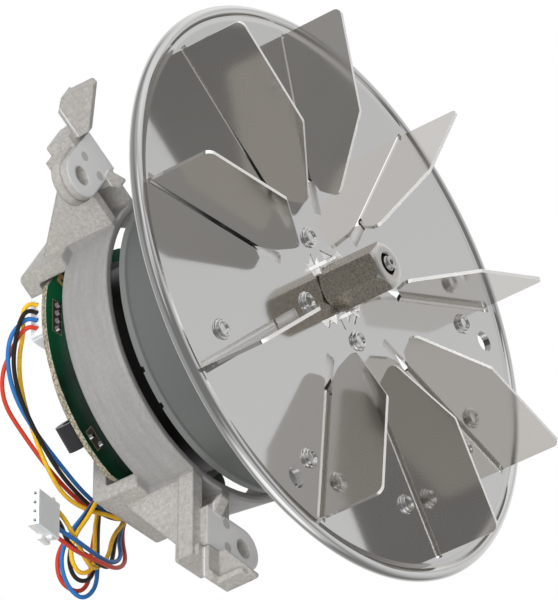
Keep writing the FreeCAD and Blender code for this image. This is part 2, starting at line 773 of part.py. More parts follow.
def board_header():
    low, wide = header_box()
    inner = header_circle - header_depth / 2
    body = Part.makeBox(header_depth, wide, header_height, Vec(inner, -wide / 2, low))
    cavity = Part.makeBox(header_depth, wide - 1.6, header_height - 1.6,
                          Vec(inner + 1.2, -wide / 2 + 0.8, low + 0.8))
    pin_ways = [Part.makeCylinder(pin_r, 1.0, Vec(header_circle, across, low + header_height - 0.9))
                for across in header_spots()]
    return on_header(body.cut([cavity] + pin_ways))


def header_pins_shape():
    low, wide = header_box()
    mid = low + header_height / 2
    inner = header_circle - header_depth / 2
    pins = []
    for across in header_spots():
        post = Part.makeCylinder(pin_r, board_front + solder_height - low - header_height + 0.8,
                                 Vec(header_circle, across, low + header_height - 0.8))
        blade_pin = Part.makeCylinder(pin_r, wire_end_r() - inner - 1.4, Vec(inner + 1.2, across, mid),
                                      Vec(1, 0, 0))
        rise = Part.makeCylinder(pin_r, low + header_height - 0.8 - mid,
                                 Vec(header_circle, across, mid))
        pins.append(on_header(post.fuse([rise, blade_pin])))
    return Part.makeCompound(pins)


def plug_face_r():
    """Distance from the shaft to the outer face of the plug on the board."""
    return header_circle + header_depth / 2 - plug_inside + plug_length


def wire_end_r():
    return plug_face_r() - plug_bore + 0.1


def board_plug():
    low, wide = header_box()
    start = plug_face_r() - plug_length
    body = Part.makeBox(plug_length, wide - 2 * plug_gap, header_height - 2 * plug_gap,
                        Vec(start, -wide / 2 + plug_gap, low + plug_gap))
    flange = Part.makeBox(plug_length - plug_inside, wide - 0.6, header_height - 0.6,
                          Vec(start + plug_inside, -wide / 2 + 0.3, low + 0.3))
    mid = low + header_height / 2
    bores = []
    for across in header_spots():
        bores.append(Part.makeCylinder(pin_r + 0.05, plug_length, Vec(start - 0.1, across, mid), Vec(1, 0, 0)))
        bores.append(Part.makeCylinder(wire_r + 0.05, plug_bore + 0.1,
                                       Vec(plug_face_r() - plug_bore, across, mid), Vec(1, 0, 0)))
    return on_header(body.fuse(flange).cut(bores))


def choke():
    low = board_front - board_thick
    body = Part.makeCylinder(choke_r, choke_length, Vec(0, 0, 0), Vec(0, 1, 0))
    body = body.cut(Part.makeCylinder(choke_r * 0.45, 1.6, Vec(0, -0.1, 0), Vec(0, 1, 0)))
    body.translate(Vec(choke_circle, -choke_length / 2, low - choke_r))
    return spun(body, choke_angle)


def choke_leads():
    low = board_front - board_thick
    leads = []
    for circle, angle in lead_spots():
        at = polar(circle, angle, low)
        leads.append(Part.makeCylinder(pin_r, board_thick + solder_height, at))
    return Part.makeCompound(leads)


def in_row(vector):
    """From the frame that the motor is modelled in to the finished part's frame."""
    return Vec(vector.x, -vector.z, vector.y)


def connector_matrix():
    """Its own frame: X towards the mating face, Y along the ways, Z across."""
    out = Vec(*connector_out).normalize()
    row = Vec(*connector_row)
    row = (row - out * row.dot(out)).normalize()
    side = out.cross(row)
    at = Vec(*connector_at)
    return FreeCAD.Matrix(out.x, row.x, side.x, at.x, out.y, row.y, side.y, at.y,
                          out.z, row.z, side.z, at.z, 0, 0, 0, 1)


def at_connector(shape):
    placed = shape.copy()
    placed.Placement = FreeCAD.Placement(connector_matrix())
    return placed


def way_spots():
    first = (header_pins - 1) / 2.0 * connector_pitch
    return [first - i * connector_pitch for i in range(header_pins)]


def connector_housing():
    half = connector_pitch * header_pins / 2
    low, high = -connector_front_side, connector_back_side
    corners = [(-half, low, 0.3), (half, low, 0.3), (half, high, 0.6)]
    for i, spot in enumerate(way_spots()):
        corners.append((spot, high - connector_groove, 0.3))
        if i < header_pins - 1:
            corners.append((spot - connector_pitch / 2, high, 0.35))
    corners.append((-half, high, 0.6))
    wire = rounded_wire(corners, lambda p: Vec(0, p.x, p.y))
    body = Part.Face(wire).extrude(Vec(connector_length, 0, 0))
    ends = []
    for side in (-1, 1):
        base = half - 0.3 if side > 0 else -half - 0.8
        ends.append(Part.makeBox(1.7, 1.1, 1.6, Vec(1.9, base, low + 0.4)))
    rib = Part.makeBox(5.2, 1.5, 1.5, Vec(0.2, -half - 1.2, high - 1.9))
    body = body.fuse(ends + [rib])
    ways = []
    for spot in way_spots():
        ways.append(Part.makeCylinder(wire_r + 0.05, terminal_start, Vec(0, spot, 0), Vec(1, 0, 0)))
        ways.append(Part.makeCylinder(terminal_r + 0.05, terminal_end - terminal_start,
                                      Vec(terminal_start, spot, 0), Vec(1, 0, 0)))
        ways.append(Part.makeBox(connector_length - terminal_end, pin_way, pin_way,
                                 Vec(terminal_end, spot - pin_way / 2, -pin_way / 2)))
    return at_connector(body.cut(ways))


def connector_terminals():
    tubes = []
    for spot in way_spots():
        at = Vec(terminal_start + 0.1, spot, 0)
        length = terminal_end - terminal_start - 0.2
        tube = Part.makeCylinder(terminal_r, length, at, Vec(1, 0, 0))
        tubes.append(tube.cut(Part.makeCylinder(terminal_bore, length, at, Vec(1, 0, 0))))
    return at_connector(Part.makeCompound(tubes))


def wire_way(index, middle):
    """All points of a wire: out of the plug, along its way, and into the connector."""
    low, wide = header_box()
    across = header_spots()[index]
    mid = low + header_height / 2
    turn = math.radians(header_angle)
    points = []
    for radius in (wire_end_r(), plug_face_r() + wire_start_out):
        x = radius * math.cos(turn) - across * math.sin(turn)
        y = radius * math.sin(turn) + across * math.cos(turn)
        points.append(in_row(Vec(x, y, mid)))
    points += [Vec(*point) for point in middle]
    matrix = connector_matrix()
    spot = way_spots()[index]
    points.append(matrix.multVec(Vec(-wire_end_out, spot, 0)))
    points.append(matrix.multVec(Vec(wire_end_in, spot, 0)))
    return points


def wire_tube(name, points):
    """A round tube along straight runs with the largest tangent arcs that they allow."""
    edges, radii = [], []
    here = points[0]
    for i in range(1, len(points) - 1):
        corner = points[i]
        back, on = points[i - 1] - corner, points[i + 1] - corner
        half_turn = (math.pi - back.getAngle(on)) / 2
        cut = 0.45 * min(back.Length, on.Length)
        radii.append(cut / math.tan(half_turn))
        back.normalize()
        on.normalize()
        start, end = corner + back * cut, corner + on * cut
        bisector = (back + on).normalize()
        centre = corner + bisector * (cut / math.sin(half_turn))
        middle = centre - bisector * radii[-1]
        edges.append(Part.LineSegment(here, start).toShape())
        edges.append(Part.Arc(start, middle, end).toShape())
        here = end
    edges.append(Part.LineSegment(here, points[-1]).toShape())
    path = Part.Wire(edges)
    along = (points[1] - points[0]).normalize()
    section = Part.Wire([Part.Circle(points[0], along, wire_r).toShape()])
    tube = path.makePipeShell([section], True, False)
    expected = math.pi * wire_r ** 2 * path.Length
    print(name, "length", round(path.Length, 1), "smallest radii", [round(r, 1) for r in sorted(radii)[:6]],
          "volume ratio", round(tube.Volume / expected, 4))
    return tube


def write(name, shape, placed_already=False):
    placed = shape.copy()
    if not placed_already:
        placed.rotate(Vec(0, 0, 0), Vec(1, 0, 0), 90)
    if not placed.isValid():
        print("not valid:", name)
    print(name, len(placed.Solids), "solids", round(placed.Volume, 1), "mm3")
    placed.exportStep("parts/" + name + ".step")


front_outer, front_inner, front_balls = bearing(bearing_front_top - bearing_width)
rear_outer, rear_inner, rear_balls = bearing(bearing_rear_bottom)

write("impeller_disc", impeller_disc())
write("blade_spider", blade_spider())
write("hub_nut", hub_nut())
write("shaft", shaft())
write("impeller_seat", impeller_seat())
write("rotor_bell", rotor_bell())
write("magnets", magnets())
write("rotor_hub", rotor_hub())
write("front_bearing_inner_race", front_inner)
write("front_bearing_outer_race", front_outer)
write("front_bearing_balls", front_balls)
write("rear_bearing_inner_race", rear_inner)
write("rear_bearing_outer_race", rear_outer)
write("rear_bearing_balls", rear_balls)
write("retaining_ring", retaining_ring())
write("motor_frame", motor_frame())
write("stator_core", stator_core())
write("front_insulator", insulator(stator_top))
write("rear_insulator", insulator(stator_bottom - liner))
write("coils", coils())
write("stator_carrier", stator_carrier())
write("board_ring", board_ring())
write("circuit_board", circuit_board())
write("solder_joints", solder_joints())
write("board_header", board_header())
write("header_pins", header_pins_shape())
write("board_plug", board_plug())
write("choke", choke())
write("choke_leads", choke_leads())
write("connector_housing", connector_housing(), True)
write("connector_terminals", connector_terminals(), True)
ways = [("wire_yellow", yellow_way), ("wire_black", black_way), ("wire_blue", blue_way),
        ("wire_red", red_way)]
for number, (name, middle) in enumerate(ways):
    write(name, wire_tube(name, wire_way(number, middle)), True)
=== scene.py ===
import math

import bmesh
import bpy
from mathutils import Matrix, Vector


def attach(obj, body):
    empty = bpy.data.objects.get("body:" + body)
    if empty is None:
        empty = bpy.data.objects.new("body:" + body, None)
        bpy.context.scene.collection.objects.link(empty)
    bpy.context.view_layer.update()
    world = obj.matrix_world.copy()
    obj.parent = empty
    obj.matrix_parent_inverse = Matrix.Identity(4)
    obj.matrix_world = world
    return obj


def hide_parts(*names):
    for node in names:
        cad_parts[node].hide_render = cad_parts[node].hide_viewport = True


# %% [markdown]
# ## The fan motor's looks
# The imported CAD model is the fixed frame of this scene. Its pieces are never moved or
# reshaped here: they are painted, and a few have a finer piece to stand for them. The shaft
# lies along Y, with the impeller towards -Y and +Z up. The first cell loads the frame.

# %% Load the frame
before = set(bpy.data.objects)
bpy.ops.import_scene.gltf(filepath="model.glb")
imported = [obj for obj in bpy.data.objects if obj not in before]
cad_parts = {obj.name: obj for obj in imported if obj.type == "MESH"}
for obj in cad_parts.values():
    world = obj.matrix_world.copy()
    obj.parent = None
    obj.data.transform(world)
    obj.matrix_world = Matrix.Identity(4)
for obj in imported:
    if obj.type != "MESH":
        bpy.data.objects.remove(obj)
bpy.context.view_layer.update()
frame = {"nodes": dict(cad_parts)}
nodes = frame["nodes"]
print("CAD nodes:", len(nodes))

# %% [markdown]
# ## Shader maths
# A material is a tree of nodes. It could be joined up by hand, node by node, but a long tree
# is easier to read as a formula. So one class adds nodes, and a second one wraps a single
# output of a node, so that `1 - mask * 0.5` adds its Math nodes by itself. Colours go
# through Mix nodes, because a Math node would turn them grey.


# %% One method that adds every node
class Nodes:
    """A node tree, and the one method that adds nodes to it."""

    def __init__(self, tree):
        self.tree = tree

    def add(self, kind, settings=None, sockets=None):
        """A node of one type: its settings first, then its sockets by name or number."""
        made = self.tree.nodes.new(kind)
        for key, value in (settings or {}).items():
            setattr(made, key, value)
        in_use = [socket for socket in made.inputs if socket.enabled]
        for key, value in (sockets or {}).items():
            self.fill(in_use[key] if isinstance(key, int) else made.inputs[key], value)
        return made

    def fill(self, socket, value):
        """Links a value to a socket, or types a number or a colour into it."""
        if isinstance(value, Value):
            self.tree.links.new(value.socket, socket)
        elif isinstance(value, (tuple, list)):
            missing = len(socket.default_value) - len(value)
            socket.default_value = tuple(value) + (1.0,) * missing
        else:
            socket.default_value = value

    def output(self, made, name=None):
        """One output of a node as a value, the first in use if it isn't named."""
        in_use = [socket for socket in made.outputs if socket.enabled]
        return Value(self, made.outputs[name] if name else in_use[0])

    def math(self, operation, *items):
        made = self.add("ShaderNodeMath", {"operation": operation}, dict(enumerate(items)))
        return self.output(made)

    def axes(self, kind):
        """Texture coordinates of one kind, as three values."""
        source = self.output(self.add("ShaderNodeTexCoord"), kind)
        split = self.add("ShaderNodeSeparateXYZ", sockets={0: source})
        return [Value(self, socket) for socket in split.outputs]


print("nodes can be added")


# %% An output that can stand in a formula
class Value:
    """One output of a node, with the operators that formulas need."""

    def __init__(self, nodes, socket):
        self.nodes, self.socket = nodes, socket

    def math(self, operation, *others):
        return self.nodes.math(operation, self, *others)

    def __add__(self, other):
        return self.math("ADD", other)

    def __sub__(self, other):
        return self.math("SUBTRACT", other)

    def __rsub__(self, other):
        return self.nodes.math("SUBTRACT", other, self)

    def __mul__(self, other):
        return self.math("MULTIPLY", other)

    def __truediv__(self, other):
        return self.math("DIVIDE", other)

    def __rtruediv__(self, other):
        return self.nodes.math("DIVIDE", other, self)

    __radd__, __rmul__ = __add__, __mul__

    def over(self, edge):
        return self.math("GREATER_THAN", edge)

    def under(self, edge):
        return self.math("LESS_THAN", edge)

    def size(self):
        return self.math("ABSOLUTE")

    def root(self):
        return self.math("SQRT")

    def clamp(self):
        return self.math("MAXIMUM", 0.0).math("MINIMUM", 1.0)

    def ramp(self, low, high):
        """0 up to low, 1 from high, and straight between them."""
        return ((self - low) / (high - low)).clamp()


print("formulas can be written")


# %% A material and its finish
class Look(Nodes):
    """A material with one Principled shader, named after its finish."""

    def __init__(self, name, color, metallic=0.0, roughness=0.5, **more):
        self.material = bpy.data.materials.new(name)
        self.material.use_nodes = True
        super().__init__(self.material.node_tree)
        self.shader = self.tree.nodes["Principled BSDF"]
        self.set("Base Color", color)
        self.set("Metallic", metallic)
        self.set("Roughness", roughness)
        for key, value in more.items():
            self.set(key.replace("_", " "), value)

    def set(self, socket, value):
        self.fill(self.shader.inputs[socket], value)

    def place(self):
        """Where a spot is on the object, in metres."""
        return self.axes("Object")

    def facing(self):
        """Which way the surface faces there."""
        return self.axes("Normal")

    def noise(self, scale, detail=3.0, stretch=(1, 1, 1), roughness=0.5):
        """Cloudy values about 0.5, with spots some 1 / scale metres wide."""
        place = self.output(self.add("ShaderNodeTexCoord"), "Object")
        spread = self.add("ShaderNodeMapping", sockets={"Vector": place, "Scale": stretch})
        return self.output(self.add("ShaderNodeTexNoise", sockets={
            "Vector": self.output(spread), "Scale": scale, "Detail": detail,
            "Roughness": roughness}))

    def mix(self, amount, first, second):
        """A colour between two others, which may be mixes themselves."""
        return self.output(self.add("ShaderNodeMix", {"data_type": "RGBA"},
                                    {0: amount, 1: first, 2: second}))

    def bump(self, height, strength, distance, round_edges=0.0):
        """Relief that the shape itself lacks, and softly rounded edges where asked for."""
        sockets = {"Height": height, "Strength": strength, "Distance": distance}
        if round_edges:
            soft = self.add("ShaderNodeBevel", {"samples": 4}, {"Radius": round_edges})
            sockets["Normal"] = self.output(soft)
        self.set("Normal", self.output(self.add("ShaderNodeBump", sockets=sockets)))


print("finishes can be made")

# %% [markdown]
# ## Sheet steel
# The disc and the blades are polished stainless sheet. That is a pure metal of little
# roughness, and a faint noise in the roughness blurs what it mirrors, here more and there
# less, as rolled sheet does. Where the press sheared the sheet, the raw edge scatters light
# and looks nearly white. On the blades those edges all face the front, so the surface's
# direction finds them, and no edge has to be painted by hand.

# %% Sheet steel
sheet = Look("stainless_sheet", (0.80, 0.797, 0.79), metallic=1.0)
sheet.set("Roughness", sheet.noise(90.0, 2.0) * 0.04 + 0.07)
sheared = Look("sheared_tab", (0.95, 0.945, 0.93), metallic=0.15, roughness=0.35)

blade_tone, raw_edge_tone = (0.74, 0.715, 0.68), (0.93, 0.92, 0.90)
blades = Look("blade_sheet", blade_tone, metallic=1.0)
raw_edge = blades.facing()[1].under(-0.35)
blades.set("Base Color", blades.mix(raw_edge, blade_tone, raw_edge_tone))
blades.set("Metallic", 1 - raw_edge * 0.75)
blades.set("Roughness", blades.noise(70.0, 2.0) * 0.04 + 0.09 + raw_edge * 0.2)
print("sheet metals:", sheet.material.name, sheared.material.name, blades.material.name)

# %% [markdown]
# ## Nut, shaft and bell
# The long nut is drawn hexagon bar with a dark, finely speckled skin, and its front end is
# turned bright. A mask of the surface's direction tells the two apart: only the turned end
# faces the front. The bell is painted grey, with a lighter band along its rear lip.

# %% Nut, shaft and bell
nut = Look("nickel_steel", (0.42, 0.39, 0.35), metallic=1.0)
speckle = nut.noise(2600.0, 4.0, roughness=0.7)
turned_end = (0 - nut.facing()[1]).ramp(0.15, 0.4)
drawn_skin = nut.mix(speckle.ramp(0.4, 0.62), (0.27, 0.24, 0.195), (0.56, 0.51, 0.44))
nut.set("Base Color", nut.mix(turned_end, drawn_skin, (0.66, 0.64, 0.61)))
nut.set("Roughness", speckle * 0.25 + 0.15 - turned_end * 0.05)
nut.bump(speckle * (1 - turned_end), 0.25, 0.0003)

steel = Look("ground_steel", (0.62, 0.61, 0.59), metallic=1.0, roughness=0.28)

bell_paint, lip_tone = (0.145, 0.154, 0.150), (0.20, 0.21, 0.206)
bell = Look("painted_bell", bell_paint, metallic=0.25)
# The colour is lighter over the last 3 mm before the rear lip.
bell_lip = bell.place()[1].over(-0.0030)
bell.set("Base Color", bell.mix(bell_lip, bell_paint, lip_tone))
bell.set("Roughness", bell.noise(120.0, 2.0) * 0.1 + 0.38)
print("turned parts:", nut.material.name, steel.material.name, bell.material.name)

# %% [markdown]
# ## Casting
# The frame is one die casting in aluminium. Most of it has the grainy skin of the mould. The
# ring is turned smooth inside and out, and the three pads are faced bright, with two round
# marks of ejector pins on each. All of these could be separate materials on separate faces,
# but the CAD mesh is left as it is, so masks of place pick them out: distance from the shaft
# for the ring, height for the pads, and distance from a spot for marks and threads. A Bevel
# node under the bump rounds the casting's edges for the light alone.

# %% Where the casting is machined
cast = Look("cast_aluminium", (0.62, 0.61, 0.59), metallic=0.45)
x, y, z = cast.place()
arm_turns = (0, 120, 240)
hole_circle = 0.0627


def away_from(out, turn):
    """Distance, seen along the shaft, from a spot that far out at that turn."""
    across = x - out * math.cos(math.radians(turn))
    along = z - out * math.sin(math.radians(turn))
    return (across * across + along * along).root()


radius = (x * x + z * z).root()
ring_wall = radius.ramp(0.0420, 0.0425) * radius.under(0.0461)
turned_ring = ring_wall * y.ramp(0.0024, 0.0026) * y.under(0.0193)
pad = y.size().under(0.0002)
bright = (turned_ring + pad).clamp()
pin_mark_radius = 0.0014
pin_marks = sum(away_from(out, turn - lag).under(pin_mark_radius)
                for turn in arm_turns for out, lag in ((0.0648, 6.1), (0.0578, 6.4)))
hole_distance = away_from(hole_circle, arm_turns[0])
for turn in arm_turns[1:]:
    hole_distance = hole_distance.math("MINIMUM", away_from(hole_circle, turn))
thread = (y * 1000.0).math("FRACT") * hole_distance.under(0.0029)
print("casting masks ready")

# %% Skin of the casting
grain = cast.noise(900.0, 6.0, roughness=0.85)
blotch = cast.noise(70.0, 3.0)
mould_skin = cast.mix(grain.ramp(0.35, 0.68), (0.46, 0.44, 0.41), (0.78, 0.765, 0.74))
mould_skin = cast.mix(blotch.ramp(0.4, 0.75) * 0.45, mould_skin, (0.47, 0.445, 0.41))
streak = cast.noise(60.0, 5.0, stretch=(1, 9, 1), roughness=0.7)
ring_skin = cast.mix(streak.ramp(0.35, 0.65), (0.42, 0.415, 0.405), (0.50, 0.495, 0.485))
ring_skin = cast.mix(grain.ramp(0.45, 0.7) * 0.7, ring_skin, (0.37, 0.36, 0.345))
pad_skin = cast.mix(pin_marks.clamp(), (0.80, 0.80, 0.805), (0.52, 0.515, 0.505))
cast.set("Base Color", cast.mix(pad, cast.mix(turned_ring, mould_skin, ring_skin), pad_skin))
cast.set("Metallic", 0.45 - pad * 0.2)
cast.set("Roughness", grain * 0.2 + 0.42 - bright * 0.06)
relief = grain * (1 - bright * 0.8) * 0.6 + thread * 1.6
cast.bump(relief, 0.45, 0.0006, round_edges=0.0009)
print("casting ready")

# %% [markdown]
# ## Circuit board
# The board is glass fibre: its cut edge is pale and speckled, and both faces are covered with
# dark green lacquer. The green is painted lighter towards the top, as painted light where more
# light reaches the board. Printed on it are two boxes round the solder joints and one bare
# copper pad with a hole. They are flat prints, so they are patches of colour in the board's own
# coordinates, and not geometry.

# %% Circuit board
board = Look("board", (0.01, 0.16, 0.07), roughness=0.3, Specular_IOR_Level=0.2)
x, y, z = board.place()
face = board.facing()[1].size().over(0.5)
lacquer = board.mix(board.noise(220.0, 3.0).ramp(0.4, 0.7), (0.002, 0.022, 0.010),
                    (0.003, 0.045, 0.020))
# Painted light: the lacquer is painted a lighter green towards the top, where the board is lit.
lacquer = board.mix(z.ramp(0.006, 0.026) * 0.9, lacquer, (0.003, 0.12, 0.045))


def patch(turn, out, half_out, half_along):
    """1 inside a rectangle of the board, that far out at that turn."""
    c, s = math.cos(math.radians(turn)), math.sin(math.radians(turn))
    outwards = x * c + z * s - out
    sideways = z * c - x * s
    return outwards.size().under(half_out) * sideways.size().under(half_along)


# Each box: its turn, its distance from the shaft, and half of its length.
box_spots = ((142.9, 0.0384, 0.0052), (196.6, 0.0391, 0.0031))
half_box, line = 0.0019, 0.0002
boxes = sum(patch(turn, out, half_box, half) for turn, out, half in box_spots).clamp()
insides = sum(patch(turn, out, half_box - line, half - line)
              for turn, out, half in box_spots).clamp()
lacquer = board.mix(boxes, lacquer, (0.30, 0.24, 0.17))
lacquer = board.mix(insides, lacquer, (0.045, 0.036, 0.028))
lacquer = board.mix(patch(123.0, 0.0385, 0.0018, 0.0018), lacquer, (0.50, 0.33, 0.12))
lacquer = board.mix(patch(123.0, 0.0385, 0.0005, 0.0005), lacquer, (0.02, 0.015, 0.01))
fibre = board.mix(board.noise(1500.0, 2.0).ramp(0.4, 0.6), (0.16, 0.145, 0.10),
                  (0.42, 0.39, 0.30))
board.set("Base Color", board.mix(face, fibre, lacquer))
print("board ready")

# %% [markdown]
# ## Plastics and small parts
# The rest has one even finish each, so a colour and a roughness are enough. Nylon lets a
# little light in under its surface, which keeps the white plugs from looking like chalk. The
# wires' sleeves are soft PVC: the shine is kept low, or their rims would look washed out.

# %% Plastics and small parts
black = Look("black_plastic", (0.012, 0.012, 0.012), roughness=0.45)
grey = Look("grey_plastic", (0.62, 0.62, 0.63), roughness=0.4)
nylon = Look("white_nylon", (0.88, 0.88, 0.87), roughness=0.4, Subsurface_Weight=0.15,
             Specular_IOR_Level=0.3)
ferrite = Look("ferrite", (0.022, 0.022, 0.024), roughness=0.35)
copper = Look("winding", (0.55, 0.22, 0.09), metallic=0.9, roughness=0.35)
core = Look("core_steel", (0.30, 0.30, 0.31), metallic=0.9, roughness=0.5)
tin = Look("tin", (0.75, 0.75, 0.74), metallic=1.0, roughness=0.2)
tones = {"yellow": (0.86, 0.50, 0.03), "black": (0.022, 0.020, 0.017),
         "blue": (0.03, 0.17, 0.48), "red": (0.60, 0.055, 0.03)}
sleeves = {name: Look(name + "_pvc", tone, roughness=0.45, Specular_IOR_Level=0.2)
           for name, tone in tones.items()}
print("materials:", len(bpy.data.materials))

# %% [markdown]
# ## Paint the CAD pieces
# A CAD piece arrives with a plain material in its one slot. Its mesh stays as it is, and the
# slot gets one of the finishes above. The disc, the nut and the wires aren't in this list,
# because pieces made further down stand for them.

# %% Give each CAD node its material
finish_of = {
    "blade_spider": blades, "shaft": steel,
    "impeller_seat": steel, "rotor_bell": bell, "magnets": ferrite, "rotor_hub": steel,
    "front_bearing_inner_race": steel, "front_bearing_outer_race": steel,
    "front_bearing_balls": tin, "rear_bearing_inner_race": steel,
    "rear_bearing_outer_race": steel, "rear_bearing_balls": tin, "retaining_ring": steel,
    "motor_frame": cast, "stator_core": core, "front_insulator": black,
    "rear_insulator": black, "coils": copper, "stator_carrier": black, "board_ring": grey,
    "circuit_board": board, "solder_joints": tin, "board_header": nylon,
    "header_pins": tin, "board_plug": nylon, "choke": ferrite, "choke_leads": tin,
    "connector_housing": nylon, "connector_terminals": tin,
}
for name, look in finish_of.items():
    mesh = nodes[name].data
    mesh.materials.clear()
    mesh.materials.append(look.material)
print("painted nodes:", len(finish_of))

# %% [markdown]
# ## Impeller disc
# The disc is one pressed sheet: flat in the middle, with its edge rolled back into a round
# bead that stiffens it. Flat and bead could be a cylinder and a torus joined together, but
# one section through the sheet, spun about the shaft, gives both with the sheet's own
# thickness. The bead is a true circle, because its highlight would show every flat on it.
# The piece has the CAD node's sizes and stands for it.

# %% Section of the disc
disc_front = 38.9  # mm in front of the mounting pads


def on_disc(across, up, height, turn=0.0):
    """A spot in mm on the disc, height above its front, turned about the shaft, in metres."""
    c, s = math.cos(math.radians(turn)), math.sin(math.radians(turn))
    return Vector((across * c - up * s, -(disc_front + height), across * s + up * c)) / 1000.0


def arc(centre, height, radius, first, last, steps):
    turns = [math.radians(first + (last - first) * i / steps) for i in range(steps + 1)]
    return [(centre + radius * math.cos(t), height + radius * math.sin(t)) for t in turns]


bead_centre, bead_height = 81.2, -0.7
bead_outside, bead_inside = 1.8, 1.0
section = [(3.1, -1.0), (3.1, 0.0), (40.0, 0.0), (78.1, 0.0), (78.5, 0.05), (78.9, 0.15),
           (79.35, 0.25)]
section += arc(bead_centre, bead_height, bead_outside, 147, -125, 40)
section += arc(bead_centre, bead_height, bead_inside, -125, 175, 28)
section += [(79.4, -0.78), (78.9, -0.87), (78.4, -0.97), (78.0, -1.0), (40.0, -1.0)]
print("section points:", len(section))


# %% Spin it about the shaft
def spun(bm, outline, centre=(0.0, 0.0), steps=96, closed=True):
    """An outline of (radius, height) spun about the shaft's direction at a centre in mm."""
    corners = [bm.verts.new(on_disc(centre[0] + r, centre[1], h)) for r, h in outline]
    edges = [bm.edges.new(pair) for pair in zip(corners, corners[1:])]
    if closed:
        edges.append(bm.edges.new((corners[-1], corners[0])))
    middle = on_disc(centre[0], centre[1], 0.0)
    bmesh.ops.spin(bm, geom=corners + edges, cent=middle, axis=(0, 1, 0),
                   angle=math.tau, steps=steps, use_merge=True)


def finished(name, bm, look):
    """A mesh object from a bmesh, with its doubles merged and its faces outwards."""
    bmesh.ops.remove_doubles(bm, verts=bm.verts, dist=1e-6)
    bmesh.ops.recalc_face_normals(bm, faces=bm.faces)
    mesh = bpy.data.meshes.new(name)
    bm.to_mesh(mesh)
    bm.free()
    mesh.materials.append(look.material)
    piece = bpy.data.objects.new(name, mesh)
    bpy.context.scene.collection.objects.link(piece)
    return piece


bm = bmesh.new()
spun(bm, section, steps=288)
disc = finished("impeller_sheet", bm, sheet)
print("disc faces:", len(disc.data.polygons))

# %% [markdown]
# ### Slots and holes
# On the real disc a press tool stamps the blades' nine slots, the tabs' four openings and
# three balance holes. The same is done here: all the tool's stamps are extruded prisms in
# one mesh, and one exact Boolean takes them away. Cutting the section before the spin
# couldn't do it, since a spun shape has no openings.


# %% Stamps and one cut
def plate(bm, corners, step):
    """A face through these corners, extruded by a step."""
    face = bm.faces.new([bm.verts.new(corner) for corner in corners])
    made = bmesh.ops.extrude_face_region(bm, geom=[face])["geom"]
    moved = [item for item in made if isinstance(item, bmesh.types.BMVert)]
    bmesh.ops.translate(bm, verts=moved, vec=step)


def stamp(bm, corners, turn, low=-3.0, high=2.0):
    """A prism from one height to another, from corners in mm turned about the shaft."""
    foot = [on_disc(across, up, low, turn) for across, up in corners]
    plate(bm, foot, on_disc(0, 0, high) - on_disc(0, 0, low))


def shaped(piece, tool, operation):
    """Works a tool into a piece with one Boolean, and throws the tool away."""
    work = piece.modifiers.new("work", "BOOLEAN")
    work.operation = operation
    work.solver = "EXACT"
    work.object = tool
    bpy.context.view_layer.update()
    result = piece.evaluated_get(bpy.context.evaluated_depsgraph_get())
    piece.data = bpy.data.meshes.new_from_object(result)
    piece.modifiers.clear()
    bpy.data.objects.remove(tool)


blade_turns = [26 + 40 * i for i in range(9)]
tab_turn = 3.7
slot = [(22.9, -1.1), (77.0, -1.1), (77.4, -0.7), (77.4, 1.9), (77.0, 2.3), (22.9, 2.3),
        (22.5, 1.9), (22.5, -0.7)]
balance_turns = (97.7, 217.7, 337.7)
balance_circle, balance_radius, hole_steps = 71.0, 3.0, 32
hole = [(balance_circle + balance_radius * math.cos(step * math.tau / hole_steps),
         balance_radius * math.sin(step * math.tau / hole_steps)) for step in range(hole_steps)]
quarters = [(hand, side) for hand in (-1, 1) for side in (-1, 1)]

bm = bmesh.new()
for turn in blade_turns:
    stamp(bm, slot, turn)
for hand, side in quarters:
    stamp(bm, [(hand * 2.6, side * 8.1), (hand * 7.6, side * 8.1), (hand * 2.6, side * 11.3)],
          tab_turn)
for turn in balance_turns:
    stamp(bm, hole, turn)
shaped(disc, finished("cutter", bm, sheet), "DIFFERENCE")
print("after the cuts:", len(disc.data.vertices), "vertices,", len(disc.data.polygons), "faces")

# %% [markdown]
# ### Buttons and lock tabs
# The two sheets are held together by press-joined buttons: metal squeezed through from the
# back, so that each has a foot ring, a neck, a round lip and a dished top. One outline spun
# at thirteen spots makes them all. Small triangles of sheet are bent up against the nut and
# lock it. They are thin plates with sheared, nearly white edges, and the bevel operator
# rounds each a little, so that it catches the light.

# %% Buttons
button = [(0.0, 0.62), (1.15, 0.62), (1.35, 0.68), (1.62, 0.95), (1.78, 1.2), (1.95, 1.3),
          (2.12, 1.3), (2.3, 1.22), (2.42, 1.05), (2.42, 0.85), (2.3, 0.68), (2.3, 0.58),
          (2.45, 0.52), (2.7, 0.5), (2.86, 0.42), (2.95, 0.25), (2.95, -0.3), (0.0, -0.3)]
inner_spots = [(tab_turn + 90 * i, 15.3) for i in range(4)]
outer_spots = [(turn - 5.3, 61.4) for turn in blade_turns]
bm = bmesh.new()
for turn, circle in inner_spots + outer_spots:
    c, s = math.cos(math.radians(turn)), math.sin(math.radians(turn))
    spun(bm, button, centre=(circle * c, circle * s), steps=40, closed=False)
buttons = finished("impeller_buttons", bm, sheet)
print("buttons:", len(inner_spots) + len(outer_spots))

